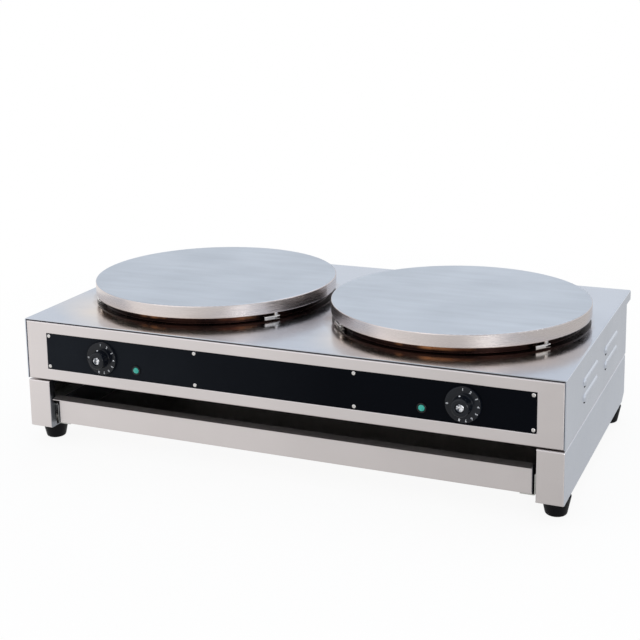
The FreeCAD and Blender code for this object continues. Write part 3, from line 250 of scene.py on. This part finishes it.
def polished_cover():
    """Bright top cover, heat tinted close to the plates, with a painted warm reflection ahead of them and
    painted brighter light on its sides.
    """
    recipe = Recipe("polished_stainless", COOL_LIT_STEEL, 0.14, 1.0)
    facing = side_facing(recipe)
    lines = grain(recipe, facing, 2400.0, 18.0)
    distance, height = around_plates(recipe)
    cloud = recipe.noise(recipe.place, 11.0, 4.0)
    wavy = recipe.math("ADD", distance, recipe.spread(cloud, -0.01, 0.01))
    on_top = recipe.math("GREATER_THAN", height, COVER_TOP - COVER_SKIN)
    tint = recipe.math("MULTIPLY", recipe.spread(wavy, 0.8, 0.0, *TINT_FADE), on_top)
    parts = recipe.add("ShaderNodeSeparateXYZ", Vector=recipe.place)
    # painted warm reflection on the cover's top, ahead of the plates and away from the middle
    ahead = recipe.math("MULTIPLY", recipe.spread(parts.outputs[1], 1.0, 0.0, *AHEAD_FADE), on_top)
    across = recipe.math("ABSOLUTE", parts.outputs[0])
    aside = recipe.math("MULTIPLY", recipe.spread(across, 0.0, 1.0, *MIDDLE_FADE), ahead)
    painted_reflection = recipe.math("MULTIPLY", recipe.spread(wavy, 1.0, 0.0, *WARM_REFLECTION_FADE), aside)
    clean = recipe.blend(recipe.spread(cloud, 0.0, 1.0), shade(COOL_LIT_STEEL, 1.03), shade(COOL_LIT_STEEL, 0.96))
    # painted brighter light on the cover's sides
    sided = recipe.blend(recipe.spread(cloud, 0.0, 1.0), shade(COOL_LIT_STEEL, 1.17), shade(COOL_LIT_STEEL, 1.10))
    toned = recipe.blend(facing, clean, sided)
    warmed = recipe.blend(painted_reflection, toned, WARM_REFLECTION_STEEL)
    recipe.color(recipe.blend(tint, warmed, TINT_BROWN))
    smear = recipe.noise(recipe.stretch((16.0, 50.0, 50.0)), 1.0, 3.0)
    top_rough = recipe.spread(recipe.math("ADD", lines, smear), 0.13, 0.22, 0.7, 1.3)
    side_rough = recipe.spread(recipe.math("ADD", lines, smear), 0.27, 0.33, 0.7, 1.3)
    picked = recipe.add("ShaderNodeMix", {"data_type": "FLOAT"}, in0=facing, in2=top_rough, in3=side_rough)
    recipe.rough(picked.outputs[0])
    recipe.bump(lines, 0.012, 0.0001)
    return recipe.material


def turned_plate():
    """Cooking plate: satin top with faint rings and streaks, machined rim warm with a painted reflection.
    """
    recipe = Recipe("machined_plate", PLATE_STEEL, 0.36, 1.0)
    distance, height = around_plates(recipe)
    rings = recipe.add("ShaderNodeTexNoise", {"noise_dimensions": "1D"}, W=distance, Scale=1400.0,
                       Detail=3.0).outputs[0]
    streaks = recipe.noise(recipe.stretch((9.0, 60.0, 1.0)), 1.0, 4.0)
    cloud = recipe.noise(recipe.place, 8.0, 5.0)
    tone = recipe.math("ADD", recipe.spread(cloud, 0.0, 0.5), recipe.spread(streaks, 0.0, 0.5))
    top = recipe.blend(tone, shade(PLATE_STEEL, 1.05), shade(PLATE_STEEL, 0.87))
    grooves = recipe.noise(recipe.stretch((30.0, 30.0, 2200.0)), 1.0, 3.0)
    # painted warm reflection on the rim
    rim = recipe.blend(recipe.spread(grooves, 0.0, 1.0), shade(WARM_REFLECTION_RIM, 1.03), shade(WARM_REFLECTION_RIM, 0.96))
    on_top = recipe.math("GREATER_THAN", height, PLATE_TOP - PLATE_RIM)
    recipe.color(recipe.blend(on_top, rim, top))
    satin = recipe.spread(recipe.math("ADD", rings, cloud), 0.33, 0.42, 0.7, 1.3)
    groove_rough = recipe.spread(grooves, 0.22, 0.34)
    recipe.rough(recipe.add("ShaderNodeMix", {"data_type": "FLOAT"}, in0=on_top, in2=groove_rough,
                            in3=satin).outputs[0])
    recipe.bump(rings, 0.04, 0.0001)
    return recipe.material


def heat_tinted():
    """Pans: copper towards the collar's top edge, nearly black with painted shade towards the cover."""
    recipe = Recipe("heat_tinted_steel", (0.05, 0.04, 0.035), 0.3, 1.0)
    parts = recipe.add("ShaderNodeSeparateXYZ", Vector=recipe.place)
    patch = recipe.noise(recipe.place, 24.0, 5.0, 0.6)
    straw = recipe.noise(recipe.place, 9.0, 3.0)
    shifted = recipe.math("ADD", parts.outputs[2], recipe.spread(patch, -0.0008, 0.0008))
    rise = recipe.spread(shifted, 0.0, 1.0, COVER_TOP + COLLAR_FADE[0], COVER_TOP + COLLAR_FADE[1])
    spots = recipe.spread(recipe.noise(recipe.place, 13.0, 3.0), 0.0, 1.0, 0.53, 0.72)
    glow = recipe.math("MULTIPLY", rise, spots)
    copper = recipe.blend(recipe.spread(straw, 0.0, 1.0, 0.42, 0.62), *COPPER)
    # painted shade, nearly black, wherever the copper spots are not
    painted_shade = recipe.blend(recipe.spread(patch, 0.0, 1.0), *UNDER_PLATE_SHADE)
    recipe.color(recipe.blend(glow, painted_shade, copper))
    recipe.rough(recipe.spread(patch, 0.22, 0.4))
    recipe.bump(patch, 0.08, 0.0003)
    return recipe.material


def coated(name, color, pale, low, high, scale, strength=0.1, metallic=0.0, specular=0.5):
    """Painted, moulded or cast surface with a fine skin and faint marks."""
    recipe = Recipe(name, color, (low + high) / 2, metallic)
    skin = recipe.noise(recipe.place, scale, 4.0)
    cloud = recipe.noise(recipe.place, 14.0, 4.0)
    recipe.color(recipe.blend(recipe.spread(cloud, 0.0, 1.0), color, pale))
    recipe.rough(recipe.spread(recipe.math("ADD", skin, cloud), low, high, 0.7, 1.3))
    recipe.bump(skin, strength, 0.0002)
    recipe.shader.inputs["Specular IOR Level"].default_value = specular
    return recipe.material


def small_metal(name, color, dark, low, high):
    """Bright or plated small part."""
    recipe = Recipe(name, color, (low + high) / 2, 1.0)
    cloud = recipe.noise(recipe.place, 180.0, 4.0)
    recipe.color(recipe.blend(recipe.spread(cloud, 0.0, 1.0), color, dark))
    recipe.rough(recipe.spread(cloud, low, high))
    recipe.bump(recipe.noise(recipe.place, 2200.0, 2.0), 0.05, 0.0001)
    return recipe.material


def chrome_with_painted_reflections():
    """Chrome of the knob caps, with painted reflections: bright and dark in patches."""
    recipe = Recipe("knob_chrome", (0.7, 0.7, 0.72), 0.12, 1.0)
    patch = recipe.noise(recipe.place, 170.0, 2.0)
    recipe.color(recipe.blend(recipe.spread(patch, 0.0, 1.0, 0.44, 0.56), *CAP_REFLECTION_TONES))
    recipe.rough(recipe.spread(patch, 0.06, 0.2))
    recipe.bump(patch, 0.3, 0.0006)
    return recipe.material


def black_enamel():
    """Black coat of the control panel, with painted light making it a touch paler towards its left end."""
    recipe = Recipe("black_panel", (0.002, 0.003, 0.005), 0.25)
    parts = recipe.add("ShaderNodeSeparateXYZ", Vector=recipe.place)
    skin = recipe.noise(recipe.place, 1500.0, 4.0)
    cloud = recipe.noise(recipe.place, 9.0, 3.0)
    # painted light, fading out from the left end
    left = recipe.spread(parts.outputs[0], 1.0, 0.0, *PANEL_LIGHT_FADE)
    wavy = recipe.math("MULTIPLY", left, recipe.spread(cloud, 0.75, 1.0))
    recipe.color(recipe.blend(wavy, *PANEL_BLACK))
    recipe.rough(recipe.spread(recipe.math("ADD", skin, cloud), 0.2, 0.3, 0.7, 1.3))
    recipe.bump(skin, 0.03, 0.0002)
    recipe.shader.inputs["Specular IOR Level"].default_value = 0.04
    return recipe.material


def lamp_lens():
    """Ribbed green lens of a pilot lamp."""
    recipe = Recipe("lamp_green", (0.012, 0.30, 0.24), 0.16)
    cloud = recipe.noise(recipe.place, 400.0, 2.0)
    recipe.color(recipe.blend(recipe.spread(cloud, 0.0, 1.0), *LENS_GREEN))
    recipe.bump(recipe.noise(recipe.place, 900.0, 1.0), 0.15, 0.0004)
    recipe.shader.inputs["Coat Weight"].default_value = 0.4
    recipe.shader.inputs["Emission Color"].default_value = LENS_GLOW
    recipe.shader.inputs["Emission Strength"].default_value = 0.12
    return recipe.material


def fibre():
    """Felted ceramic fibre."""
    recipe = Recipe("fibre", (0.78, 0.76, 0.70), 0.95)
    tuft = recipe.noise(recipe.place, 300.0, 6.0, 0.7)
    recipe.color(recipe.blend(recipe.spread(tuft, 0.0, 1.0), *FIBRE_TONES))
    recipe.bump(tuft, 0.6, 0.001)
    return recipe.material


MATERIALS = {
    "satin_stainless": brushed_steel("satin_stainless", WARM_LIT_STEEL, COOL_LIT_STEEL, 0.28, 0.4),
    "polished_stainless": polished_cover(),
    "machined_plate": turned_plate(),
    "black_panel": black_enamel(),
    # black coat on the inner rail and housing floor: painted shade, so the opening above the drawer reads
    # black
    "black_sheet": coated("black_sheet", (0.004, 0.004, 0.0045), (0.006, 0.006, 0.006), 0.5, 0.7, 900.0,
                          specular=0.15),
    "heat_tinted_steel": heat_tinted(),
    "bright_steel": small_metal("bright_steel", (0.74, 0.72, 0.70), (0.58, 0.56, 0.54), 0.08, 0.2),
    "zinc_steel": small_metal("zinc_steel", (0.62, 0.62, 0.60), (0.48, 0.48, 0.44), 0.3, 0.5),
    "knob_black": coated("knob_black", (0.003, 0.004, 0.007), (0.005, 0.007, 0.011), 0.14, 0.22,
                         2400.0, 0.05,
                         specular=0.3),
    "knob_chrome": chrome_with_painted_reflections(),
    "bezel_black": coated("bezel_black", (0.004, 0.004, 0.005), (0.007, 0.007, 0.008), 0.2, 0.3,
                          2400.0, 0.05,
                          specular=0.3),
    "lamp_green": lamp_lens(),
    "foot_rubber": coated("foot_rubber", (0.002, 0.002, 0.003), (0.004, 0.004, 0.005), 0.35, 0.5,
                          700.0, 0.15,
                          specular=0.1),
    "fibre": fibre(),
    "element_sheath": coated("element_sheath", (0.13, 0.12, 0.11), (0.07, 0.06, 0.055), 0.4, 0.6,
                             500.0, 0.2,
                             1.0),
    "block_white": coated("block_white", (0.72, 0.71, 0.66), (0.66, 0.64, 0.58), 0.4, 0.55, 900.0),
    "gland_black": coated("gland_black", (0.02, 0.02, 0.021), (0.03, 0.03, 0.03), 0.4, 0.55, 1200.0),
    "print_white": coated("print_white", (0.86, 0.88, 0.92), (0.78, 0.80, 0.84), 0.4, 0.5, 2000.0, 0.05),
}

# Nodes whose look differs from that of their slot in the record
OWN_MATERIAL = {"knob_cap_left": "knob_chrome", "knob_cap_right": "knob_chrome",
                "drawer_runner_left": "zinc_steel", "drawer_runner_right": "zinc_steel"}


def dress_nodes():
    """Every CAD node gets its own material, or that of its slot in the record."""
    for row in frame["record"]["subparts"]:
        node = frame["nodes"].get(row["node"])
        if node is None:
            continue
        for slot in node.material_slots:
            slot.link = "OBJECT"
            slot.material = MATERIALS[OWN_MATERIAL.get(row["node"], row["material_slot"])]


def object_from(mesh, name, material):
    """Scene object that holds a finished mesh."""
    data = bpy.data.meshes.new(name)
    mesh.to_mesh(data)
    mesh.free()
    data.materials.append(material)
    piece = bpy.data.objects.new(name, data)
    bpy.context.scene.collection.objects.link(piece)
    return piece


def knob_face(side):
    """Centre of a knob's front face."""
    low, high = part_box("knob_" + side)
    return Vector(((low.x + high.x) / 2, low.y, (low.z + high.z) / 2))


def number_mesh(label):
    """Mesh of one plain number, centred on its foot, standing in the XZ plane."""
    curve = bpy.data.curves.new("number", "FONT")
    curve.body = label
    curve.size = NUMBER_SIZE
    curve.align_x = "CENTER"
    curve.extrude = NUMBER_DEPTH
    curve.resolution_u = 3
    holder = bpy.data.objects.new("number", curve)
    bpy.context.scene.collection.objects.link(holder)
    bpy.context.view_layer.update()
    data = bpy.data.meshes.new_from_object(holder)
    bpy.data.objects.remove(holder)
    bpy.data.curves.remove(curve)
    data.transform(Matrix.Rotation(math.pi / 2, 4, "X"))
    return data


def dial_numbers(side):
    """Plain numbers printed round a knob's skirt."""
    centre = knob_face(side)
    mesh = bmesh.new()
    for label, degrees in NUMBER_ANGLES.items():
        data = number_mesh(label)
        out = Matrix.Translation((0.0, SKIRT_BACK, NUMBER_RADIUS))
        data.transform(Matrix.Translation(centre) @ Matrix.Rotation(math.radians(degrees), 4, "Y") @ out)
        mesh.from_mesh(data)
        bpy.data.meshes.remove(data)
    piece = object_from(mesh, "dial_numbers_" + side, MATERIALS["print_white"])
    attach(piece, "knob_" + side)


def pointer_dot(side):
    """White dot on the boss of a knob."""
    mesh = bmesh.new()
    turn = Matrix.Rotation(math.radians(POINTER_ANGLE), 4, "Y")
    out = Matrix.Translation((0.0, POINTER_BACK, POINTER_RADIUS))
    shape = Matrix.Diagonal((*POINTER_SIZE, 1.0))
    bmesh.ops.create_icosphere(mesh, subdivisions=3, radius=1.0,
                               matrix=Matrix.Translation(knob_face(side)) @ turn @ out @ shape)
    for face in mesh.faces:
        face.smooth = True
    piece = object_from(mesh, "pointer_dot_" + side, MATERIALS["print_white"])
    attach(piece, "knob_" + side)


def maximum(tree, first, second):
    """The larger of two values."""
    node = tree.nodes.new("ShaderNodeMath")
    node.operation = "MAXIMUM"
    tree.links.new(first, node.inputs[0])
    tree.links.new(second, node.inputs[1])
    return node.outputs[0]


def map_range(tree, value, reach, result):
    """A value mapped from a reach to a result."""
    node = tree.nodes.new("ShaderNodeMapRange")
    for name, number in zip(("From Min", "From Max", "To Min", "To Max"), (*reach, *result)):
        node.inputs[name].default_value = number
    tree.links.new(value, node.inputs["Value"])
    return node.outputs[0]


def white_to_rays(tree, seen, unseen):
    """Mixes in what camera, mirror and glass rays see."""
    rays = tree.nodes.new("ShaderNodeLightPath").outputs
    shown = maximum(tree, rays["Is Camera Ray"], rays["Is Glossy Ray"])
    shown = maximum(tree, shown, rays["Is Transmission Ray"])
    mix = tree.nodes.new("ShaderNodeMixShader")
    tree.links.new(shown, mix.inputs[0])
    tree.links.new(unseen, mix.inputs[1])
    tree.links.new(seen, mix.inputs[2])
    return mix.outputs[0]


def make_world():
    """White backdrop that dims towards the ceiling, and soft ambient light."""
    world = bpy.data.worlds.new("studio")
    bpy.context.scene.world = world
    world.use_nodes = True
    tree = world.node_tree
    tree.nodes.clear()
    parts = tree.nodes.new("ShaderNodeSeparateXYZ")
    tree.links.new(tree.nodes.new("ShaderNodeTexCoord").outputs["Generated"], parts.inputs[0])
    ramp = tree.nodes.new("ShaderNodeValToRGB")
    stops = ramp.color_ramp.elements
    low, middle, high = BACKDROP
    stops[0].position, stops[0].color = low
    stops[1].position, stops[1].color = high
    stops.new(middle[0]).color = middle[1]
    tree.links.new(parts.outputs[2], ramp.inputs[0])
    seen = tree.nodes.new("ShaderNodeBackground")
    tree.links.new(ramp.outputs[0], seen.inputs["Color"])
    ambient = tree.nodes.new("ShaderNodeBackground")
    ambient.inputs["Color"].default_value = AMBIENT_COLOR
    ambient.inputs["Strength"].default_value = AMBIENT_STRENGTH
    out = tree.nodes.new("ShaderNodeOutputWorld")
    mixed = white_to_rays(tree, seen.outputs[0], ambient.outputs[0])
    tree.links.new(mixed, out.inputs["Surface"])


def make_floor():
    """Pale floor that keeps the machine's shadow, white far away and dimmer to the right in mirrors."""
    mesh = bmesh.new()
    bmesh.ops.create_grid(mesh, x_segments=1, y_segments=1, size=FLOOR_REACH)
    material = bpy.data.materials.new("floor_white")
    material.use_nodes = True
    tree = material.node_tree
    diffuse = tree.nodes["Principled BSDF"]
    diffuse.inputs["Base Color"].default_value = FLOOR_GREY
    diffuse.inputs["Roughness"].default_value = FLOOR_ROUGHNESS
    diffuse.inputs["Specular IOR Level"].default_value = 0.0
    glow = tree.nodes.new("ShaderNodeEmission")
    place = tree.nodes.new("ShaderNodeTexCoord").outputs["Object"]
    parts = tree.nodes.new("ShaderNodeSeparateXYZ")
    tree.links.new(place, parts.inputs[0])
    fade = map_range(tree, parts.outputs[0], MIRROR_FADE, MIRROR_FLOOR)
    rays = tree.nodes.new("ShaderNodeLightPath").outputs
    tree.links.new(maximum(tree, rays["Is Camera Ray"], fade), glow.inputs["Strength"])
    distance = tree.nodes.new("ShaderNodeVectorMath")
    distance.operation = "LENGTH"
    tree.links.new(place, distance.inputs[0])
    part = tree.nodes.new("ShaderNodeMixShader")
    tree.links.new(map_range(tree, distance.outputs["Value"], WHITE_FADE, WHITE_SHARE), part.inputs[0])
    tree.links.new(diffuse.outputs[0], part.inputs[1])
    tree.links.new(glow.outputs[0], part.inputs[2])
    mixed = white_to_rays(tree, part.outputs[0], diffuse.outputs[0])
    tree.links.new(mixed, tree.nodes["Material Output"].inputs["Surface"])
    floor = object_from(mesh, "floor", material)


def area_light(name, place, target, size, energy, color):
    """Rectangular soft box aimed at a point."""
    data = bpy.data.lights.new(name, "AREA")
    data.shape = "RECTANGLE"
    data.size, data.size_y = size
    data.energy = energy
    data.color = color
    lamp = bpy.data.objects.new(name, data)
    lamp.location = place
    lamp.rotation_mode = "QUATERNION"
    lamp.rotation_quaternion = (Vector(target) - Vector(place)).to_track_quat("-Z", "Y")
    bpy.context.scene.collection.objects.link(lamp)


def make_camera():
    """Camera at the photograph's place."""
    data = bpy.data.cameras.new("camera")
    data.sensor_width = SENSOR
    data.lens = FOCAL_PIXELS / FRAME_PIXELS * SENSOR
    data.shift_y = (AXIS_ROW - FRAME_PIXELS / 2) / FRAME_PIXELS
    camera = bpy.data.objects.new("camera", data)
    bpy.context.scene.collection.objects.link(camera)
    turn = Matrix.Rotation(CAMERA_YAW, 4, "Z") @ Matrix.Rotation(math.pi / 2 - CAMERA_PITCH, 4, "X")
    camera.matrix_world = Matrix.Translation(CAMERA_PLACE) @ turn @ Matrix.Rotation(CAMERA_ROLL, 4, "Z")
    bpy.context.scene.camera = camera


dress_nodes()
for side in SIDES:
    dial_numbers(side)
    pointer_dot(side)
make_world()
make_floor()
for lamp in LAMPS:
    area_light(*lamp)
make_camera()
bpy.context.scene.view_settings.view_transform = "Standard"
